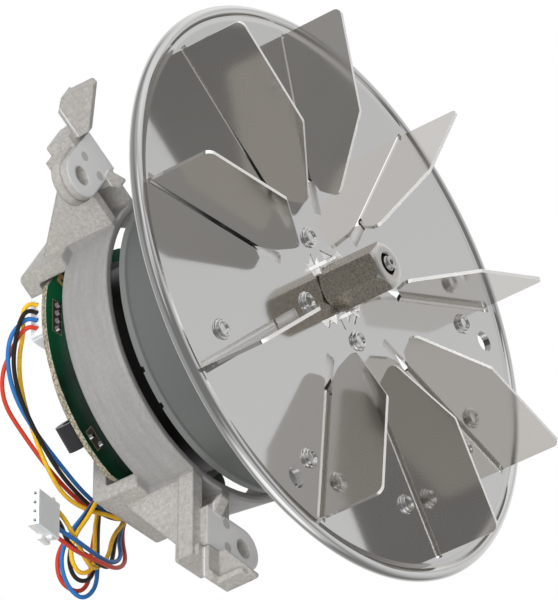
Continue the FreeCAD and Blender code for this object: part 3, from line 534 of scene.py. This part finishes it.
# %% Lock tabs
tab_thickness, root_thickness, root_height, rounding = 1.0, 0.8, -0.25, 0.0001
wall = [(2.6, 7.1, -0.9), (7.6, 7.1, -0.9), (2.6, 7.1, 3.6)]
root = [(2.65, 8.15), (7.4, 8.15), (2.65, 11.1)]
bm = bmesh.new()
for hand, side in quarters:
    plate(bm, [on_disc(hand * across, side * up, height, tab_turn) for across, up, height in wall],
          on_disc(0, side * tab_thickness, 0, tab_turn) - on_disc(0, 0, 0, tab_turn))
for hand, side in quarters:
    plate(bm, [on_disc(hand * across, side * up, root_height, tab_turn) for across, up in root],
          on_disc(0, 0, -root_thickness) - on_disc(0, 0, 0))
for turn in (tab_turn, tab_turn + 180):
    for across, spike in ((-4.0, [(9.8, 1.9), (6.9, -0.4), (5.6, -0.4), (5.2, 1.1)]),
                          (7.6, [(8.9, 1.5), (6.4, -0.4), (6.3, 2.5)])):
        plate(bm, [on_disc(across, up, height, turn) for up, height in spike],
              on_disc(root_thickness, 0, 0, turn) - on_disc(0, 0, 0, turn))
bmesh.ops.bevel(bm, geom=bm.edges, offset=rounding, affect="EDGES", segments=2, profile=0.5,
                material=-1)
tabs = finished("lock_tabs", bm, sheared)
print("tab faces:", len(tabs.data.polygons))

# %% [markdown]
# ### Smooth shading and the rotor's motion
# A spun bead is made of many small flats, and polished sheet would show each one. More of
# them would only slow the render, so the faces are shaded smooth instead. Edges steeper than
# an angle stay sharp, and a Weighted Normal modifier lets the large faces keep their even
# highlights. The pieces then ride on the rotor, so that they turn with its joint.


# %% Smooth shading and the rotor's motion
def shaded(piece, sharp_from):
    """Smooth faces, with edges kept sharp from an angle on, and even highlights."""
    piece.data.polygons.foreach_set("use_smooth", [True] * len(piece.data.polygons))
    piece.data.set_sharp_from_angle(angle=math.radians(sharp_from))
    even = piece.modifiers.new("even shading", "WEIGHTED_NORMAL")
    even.keep_sharp = True


for piece in (disc, buttons, tabs):
    shaded(piece, 38)
    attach(piece, "rotor")
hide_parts("impeller_disc")
print("impeller pieces:", disc.name, buttons.name, tabs.name)

# %% [markdown]
# ### Hub nut and the shaft's tip
# A long nut is cut from hexagon bar and its end is turned round on a lathe. The same two
# steps make it here: a hexagon prism, and a Boolean that keeps only what lies inside a
# spun, rounded envelope. That leaves the curved ends of the flats where they belong, which
# a bevel of the prism's edges wouldn't. The shaft's thin tip stands out of the bore.

# %% Hub nut and tip
envelope = [(0.0, 0.0), (5.7, 0.0), (6.3, 0.35), (8.0, 1.3), (8.0, 16.4), (6.95, 17.4),
            (6.5, 17.95), (6.0, 18.4), (5.5, 18.7), (4.9, 18.93), (4.3, 19.0), (3.4, 19.0),
            (3.05, 18.6), (3.05, 15.5), (0.0, 15.5)]
nut_flats, nut_turn = 11.8, 49.7
nut_corner = nut_flats / math.sqrt(3)
hexagon = [(nut_corner * math.cos(math.radians(30 + 60 * i)),
            nut_corner * math.sin(math.radians(30 + 60 * i))) for i in range(6)]
bm = bmesh.new()
stamp(bm, hexagon, nut_turn, low=-0.5, high=19.5)
nut_form = finished("hub_nut_form", bm, nut)
bm = bmesh.new()
spun(bm, envelope, closed=False)
shaped(nut_form, finished("envelope", bm, nut), "INTERSECT")

tip_outline = [(0.0, 18.2), (1.8, 18.2), (1.8, 19.6), (1.72, 19.85), (1.5, 20.0), (0.85, 20.0),
               (0.72, 19.9), (0.62, 19.2), (0.0, 18.9)]
bm = bmesh.new()
spun(bm, tip_outline, steps=48, closed=False)
tip = finished("shaft_tip", bm, steel)
for piece in (nut_form, tip):
    shaded(piece, 28)
    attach(piece, "rotor")
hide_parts("hub_nut")
print("nut faces:", len(nut_form.data.polygons))

# %% [markdown]
# ## Wires
# The four wires run from the plug on the board, round behind the casting's lower strap, in
# two loops to the white plug. A chain of cylinders would kink at each joint. So each wire is
# one curve: an open spline of order 3 with a round bevel. Its control points are those of
# the CAD tube, so it keeps the same way but bends evenly, like soft insulation.

# %% The wires' ways
ways = {
    "yellow": [
        (-0.0299, 0.0295, 0.0273), (-0.0331, 0.0295, 0.0297), (-0.0355, 0.0320, 0.0285),
        (-0.0345, 0.0345, 0.0235), (-0.0360, 0.0385, 0.0175), (-0.0365, 0.0415, 0.0100),
        (-0.0355, 0.0440, 0.0000), (-0.0335, 0.0460, -0.0120), (-0.0300, 0.0470, -0.0215),
        (-0.0240, 0.0455, -0.0275), (-0.0180, 0.0440, -0.0305), (-0.0130, 0.0435, -0.0335),
        (-0.0080, 0.0405, -0.0330), (-0.0055, 0.0380, -0.0300), (-0.0070, 0.0370, -0.0255),
        (-0.0115, 0.0375, -0.0215), (-0.0190, 0.0385, -0.0215), (-0.0260, 0.0385, -0.0250),
        (-0.0335, 0.0400, -0.0295), (-0.0395, 0.0420, -0.0325), (-0.0425, 0.0445, -0.0370),
        (-0.0405, 0.0455, -0.0430), (-0.0340, 0.0445, -0.0430), (-0.0275, 0.0455, -0.0370),
        (-0.0205, 0.0480, -0.0325), (-0.0135, 0.0495, -0.0285), (-0.0080, 0.0510, -0.0240),
        (-0.0015, 0.0505, -0.0205), (0.0040, 0.0485, -0.0195), (0.0070, 0.0470, -0.0230),
        (0.0065, 0.0465, -0.0275), (0.0015, 0.0470, -0.0315), (-0.0070, 0.0475, -0.0340),
        (-0.0165, 0.0465, -0.0365), (-0.0260, 0.0440, -0.0415), (-0.0365, 0.0430, -0.0435),
        (-0.0445, 0.0390, -0.0400), (-0.0500, 0.0355, -0.0335), (-0.0544, 0.0337, -0.0262),
        (-0.0585, 0.0326, -0.0241)],
    "black": [
        (-0.0314, 0.0295, 0.0253), (-0.0346, 0.0295, 0.0277), (-0.0376, 0.0309, 0.0274),
        (-0.0405, 0.0334, 0.0230), (-0.0410, 0.0380, 0.0160), (-0.0405, 0.0405, 0.0075),
        (-0.0375, 0.0420, -0.0050), (-0.0330, 0.0430, -0.0160), (-0.0275, 0.0440, -0.0225),
        (-0.0220, 0.0455, -0.0265), (-0.0165, 0.0455, -0.0310), (-0.0105, 0.0445, -0.0335),
        (-0.0055, 0.0425, -0.0330), (-0.0030, 0.0395, -0.0300), (-0.0040, 0.0385, -0.0250),
        (-0.0090, 0.0390, -0.0210), (-0.0165, 0.0400, -0.0215), (-0.0240, 0.0400, -0.0250),
        (-0.0325, 0.0415, -0.0290), (-0.0385, 0.0435, -0.0330), (-0.0415, 0.0465, -0.0385),
        (-0.0400, 0.0475, -0.0440), (-0.0340, 0.0470, -0.0455), (-0.0265, 0.0475, -0.0405),
        (-0.0190, 0.0490, -0.0335), (-0.0115, 0.0505, -0.0290), (-0.0050, 0.0525, -0.0235),
        (0.0010, 0.0525, -0.0200), (0.0065, 0.0505, -0.0195), (0.0095, 0.0485, -0.0225),
        (0.0090, 0.0480, -0.0275), (0.0040, 0.0490, -0.0305), (-0.0040, 0.0495, -0.0335),
        (-0.0130, 0.0480, -0.0370), (-0.0225, 0.0455, -0.0425), (-0.0320, 0.0420, -0.0445),
        (-0.0405, 0.0400, -0.0395), (-0.0495, 0.0390, -0.0345), (-0.0556, 0.0341, -0.0284),
        (-0.0597, 0.0329, -0.0263)],
    "blue": [
        (-0.0329, 0.0295, 0.0233), (-0.0361, 0.0295, 0.0257), (-0.0367, 0.0331, 0.0256),
        (-0.0408, 0.0359, 0.0229), (-0.0405, 0.0405, 0.0155), (-0.0395, 0.0425, 0.0065),
        (-0.0360, 0.0430, -0.0035), (-0.0305, 0.0435, -0.0135), (-0.0250, 0.0445, -0.0210),
        (-0.0195, 0.0455, -0.0260), (-0.0140, 0.0465, -0.0305), (-0.0090, 0.0455, -0.0330),
        (-0.0035, 0.0435, -0.0335), (-0.0005, 0.0415, -0.0300), (-0.0010, 0.0405, -0.0250),
        (-0.0060, 0.0410, -0.0215), (-0.0140, 0.0415, -0.0210), (-0.0220, 0.0415, -0.0250),
        (-0.0305, 0.0430, -0.0285), (-0.0375, 0.0450, -0.0315), (-0.0425, 0.0475, -0.0365),
        (-0.0430, 0.0490, -0.0435), (-0.0390, 0.0490, -0.0495), (-0.0315, 0.0480, -0.0480),
        (-0.0240, 0.0490, -0.0410), (-0.0160, 0.0505, -0.0335), (-0.0090, 0.0520, -0.0285),
        (-0.0025, 0.0540, -0.0235), (0.0035, 0.0540, -0.0200), (0.0095, 0.0520, -0.0195),
        (0.0125, 0.0500, -0.0225), (0.0115, 0.0495, -0.0270), (0.0070, 0.0505, -0.0305),
        (-0.0015, 0.0510, -0.0335), (-0.0105, 0.0490, -0.0380), (-0.0195, 0.0445, -0.0430),
        (-0.0305, 0.0410, -0.0435), (-0.0410, 0.0375, -0.0400), (-0.0510, 0.0345, -0.0350),
        (-0.0569, 0.0344, -0.0306), (-0.0610, 0.0332, -0.0285)],
    "red": [
        (-0.0344, 0.0295, 0.0213), (-0.0376, 0.0295, 0.0237), (-0.0381, 0.0335, 0.0231),
        (-0.0372, 0.0383, 0.0204), (-0.0405, 0.0430, 0.0150), (-0.0405, 0.0460, 0.0075),
        (-0.0370, 0.0465, -0.0015), (-0.0320, 0.0470, -0.0120), (-0.0255, 0.0475, -0.0215),
        (-0.0190, 0.0480, -0.0270), (-0.0125, 0.0475, -0.0300), (-0.0065, 0.0465, -0.0325),
        (-0.0010, 0.0450, -0.0330), (0.0020, 0.0430, -0.0300), (0.0015, 0.0420, -0.0250),
        (-0.0035, 0.0425, -0.0215), (-0.0110, 0.0435, -0.0210), (-0.0195, 0.0430, -0.0245),
        (-0.0285, 0.0445, -0.0285), (-0.0360, 0.0465, -0.0320), (-0.0415, 0.0490, -0.0355),
        (-0.0425, 0.0510, -0.0425), (-0.0375, 0.0500, -0.0475), (-0.0300, 0.0500, -0.0455),
        (-0.0220, 0.0510, -0.0380), (-0.0135, 0.0525, -0.0325), (-0.0060, 0.0540, -0.0285),
        (0.0000, 0.0560, -0.0235), (0.0060, 0.0560, -0.0200), (0.0120, 0.0540, -0.0190),
        (0.0150, 0.0520, -0.0225), (0.0145, 0.0515, -0.0270), (0.0095, 0.0525, -0.0305),
        (0.0015, 0.0530, -0.0335), (-0.0075, 0.0500, -0.0385), (-0.0180, 0.0445, -0.0445),
        (-0.0300, 0.0405, -0.0455), (-0.0415, 0.0370, -0.0420), (-0.0535, 0.0345, -0.0375),
        (-0.0581, 0.0348, -0.0328), (-0.0622, 0.0336, -0.0306)],
}
print("points:", {name: len(points) for name, points in ways.items()})

# %% Wires
wire_radius = 0.00062


def wire(name, points):
    """One wire along its points, as a cord that ends in the white plug."""
    curve = bpy.data.curves.new("wire_" + name, "CURVE")
    curve.dimensions = "3D"
    curve.resolution_u = 8
    curve.bevel_depth = wire_radius
    curve.bevel_resolution = 4
    curve.use_fill_caps = True
    spline = curve.splines.new("NURBS")
    spline.points.add(len(points) - 1)
    for target, point in zip(spline.points, points):
        target.co = (*point, 1.0)
    spline.order_u = 3
    spline.use_endpoint_u = True
    curve.materials.append(sleeves[name].material)
    cord = bpy.data.objects.new("cord_" + name, curve)
    bpy.context.scene.collection.objects.link(cord)
    length = spline.calc_length()
    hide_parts("wire_" + name)
    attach(cord, "motor_body")
    print(name, "wire", round(length * 1000), "mm")


for name, points in ways.items():
    wire(name, points)

# %% [markdown]
# ## Camera
# The photo was taken from far away with a long lens, a little below the shaft and rolled. A
# camera could be aimed with a constraint, but its roll matters here, so its matrix is built
# from three directions: ahead, to the side and above.

# %% Camera
camera_data = bpy.data.cameras.new("camera")
camera_data.lens = 333.0
camera_data.sensor_width = 36.0
camera = bpy.data.objects.new("camera", camera_data)
bpy.context.scene.collection.objects.link(camera)
eye = Vector((-1.287698, -0.781410, -0.079594))
ahead = Vector((0.860093, 0.507100, 0.055620)).normalized()
roughly_above = Vector((0.158159, -0.368720, 0.915986))
side = ahead.cross(roughly_above).normalized()
above = side.cross(ahead)
camera.matrix_world = Matrix((
    (side.x, above.x, -ahead.x, eye.x),
    (side.y, above.y, -ahead.y, eye.y),
    (side.z, above.z, -ahead.z, eye.z),
    (0, 0, 0, 1)))
bpy.context.scene.camera = camera
print("camera at", [round(v, 3) for v in camera.location])

# %% [markdown]
# ## Stage
# The photo shows the motor before plain white, with no shadow. More light on a white floor
# would wash out the motor too. So only the camera sees the white: Is Camera Ray mixes a glow
# into a floor that is matte grey to all other rays and throws a little light back up.
# Mirrored rays pass the floor by, because it would fill the lower half of what the disc
# shows.

# %% Floor
scene = bpy.context.scene
scene.view_settings.view_transform = "Standard"
white = bpy.data.materials.new("stage_white")
white.use_nodes = True
white.node_tree.nodes.clear()
paint = Nodes(white.node_tree)
seen = paint.output(paint.add("ShaderNodeLightPath"), "Is Camera Ray")
glow = paint.output(paint.add("ShaderNodeEmission", sockets={"Strength": 1.0}))
matte = paint.output(paint.add("ShaderNodeBsdfDiffuse", sockets={"Color": (0.45, 0.44, 0.42)}))
coat = paint.output(paint.add("ShaderNodeMixShader", sockets={0: seen, 1: matte, 2: glow}))
paint.add("ShaderNodeOutputMaterial", sockets={0: coat})

floor_height, half_side = -0.3, 3.0
bm = bmesh.new()
bmesh.ops.create_grid(bm, x_segments=1, y_segments=1, size=half_side)
bmesh.ops.translate(bm, verts=bm.verts, vec=(0, 0, floor_height))
floor_mesh = bpy.data.meshes.new("floor")
bm.to_mesh(floor_mesh)
bm.free()
floor_mesh.materials.append(white)
floor = bpy.data.objects.new("floor", floor_mesh)
scene.collection.objects.link(floor)
floor.visible_glossy = False
print("floor:", len(floor_mesh.polygons), "face,", round(floor.dimensions.x, 3), "m wide")

# %% [markdown]
# ## What the metal mirrors
# Polished sheet has hardly a tone of its own: it shows the room. In a plain white world the
# disc and the blades would all turn white. So the world is white to the camera alone, and
# every other ray meets a grey room with soft bright patches. A picture of a room could be
# wrapped round the scene instead, but patches by direction are easier to aim: a blade's face
# shows the disc, and the disc then shows one direction on a cone about the shaft. `around`
# gives that direction, so each blade's tone has a patch of its own.

# %% World
world = bpy.data.worlds.new("studio")
scene.world = world
world.use_nodes = True
world.node_tree.nodes.clear()
room = Nodes(world.node_tree)
east, north, up = room.axes("Generated")
seen = room.output(room.add("ShaderNodeLightPath"), "Is Camera Ray")


def lobe(direction, edge, middle):
    """Brightness that grows from 0 at one cosine from a direction to 1 at another."""
    aim = Vector(direction).normalized()
    return (east * aim.x + north * aim.y + up * aim.z).ramp(edge, middle)


def around(turn):
    """The direction that the disc shows by way of a blade, at this turn about the shaft."""
    c, s = math.cos(math.radians(turn)), math.sin(math.radians(turn))
    return (off_shaft * c, along_shaft, off_shaft * s)


off_shaft, along_shaft, room_grey = 0.862, -0.507, 0.20
shade = lobe(around(12), 0.50, 0.93) * 0.34 + room_grey
for turn, amount in ((50, 0.26), (88, 0.24), (248, 0.40), (290, 0.03), (328, 0.18)):
    shade = shade + lobe(around(turn), 0.80, 0.95) * amount
# The rest, in turn: the nut's mirror image, the room behind, the blades' tips, and the rim's
# two bright lines.
for direction, edge, middle, amount in (
        (around(149), 0.95, 0.985, 0.42),
        ((0.0, 1.0, 0.1), 0.0, 0.6, 0.16),
        ((0.85, 0.51, 0.12), 0.55, 0.80, 0.42),
        ((-0.50, 0.10, -0.86), 0.85, 0.96, 0.80),
        ((-0.28, -0.76, 0.56), 0.94, 0.985, 0.50)):
    shade = shade + lobe(direction, edge, middle) * amount
level = shade * (1 - seen) + seen
light = room.output(room.add("ShaderNodeCombineXYZ", sockets={0: level, 1: level, 2: level}))
back = room.output(room.add("ShaderNodeBackground", sockets={"Color": light}))
room.add("ShaderNodeOutputWorld", sockets={0: back})
print("world nodes:", len(world.node_tree.nodes))

# %% [markdown]
# ## Lights
# Three soft boxes light the matte parts: one from above, a broad one beside the camera, and
# a low strip that opens the shadows under the casting. Mirrored rays don't see them, because
# a lamp in the disc would be a hard white rectangle.


# %% Lights
def soft_box(name, place, size, power):
    """A rectangular lamp that faces the motor."""
    data = bpy.data.lights.new(name, "AREA")
    data.shape = "RECTANGLE"
    data.size, data.size_y = size
    data.energy = power
    lamp = bpy.data.objects.new(name, data)
    lamp.location = place
    lamp.rotation_euler = (-Vector(place)).to_track_quat("-Z", "Y").to_euler()
    lamp.visible_glossy = False
    scene.collection.objects.link(lamp)


soft_box("key", (-0.8, -0.1, 1.1), (0.9, 0.9), 9.0)
soft_box("fill", (-1.7, -0.9, 0.1), (1.4, 1.4), 21.0)
soft_box("low", (-1.2, -0.3, -0.22), (0.6, 0.1), 6.0)
print("lights:", len(bpy.data.lights))
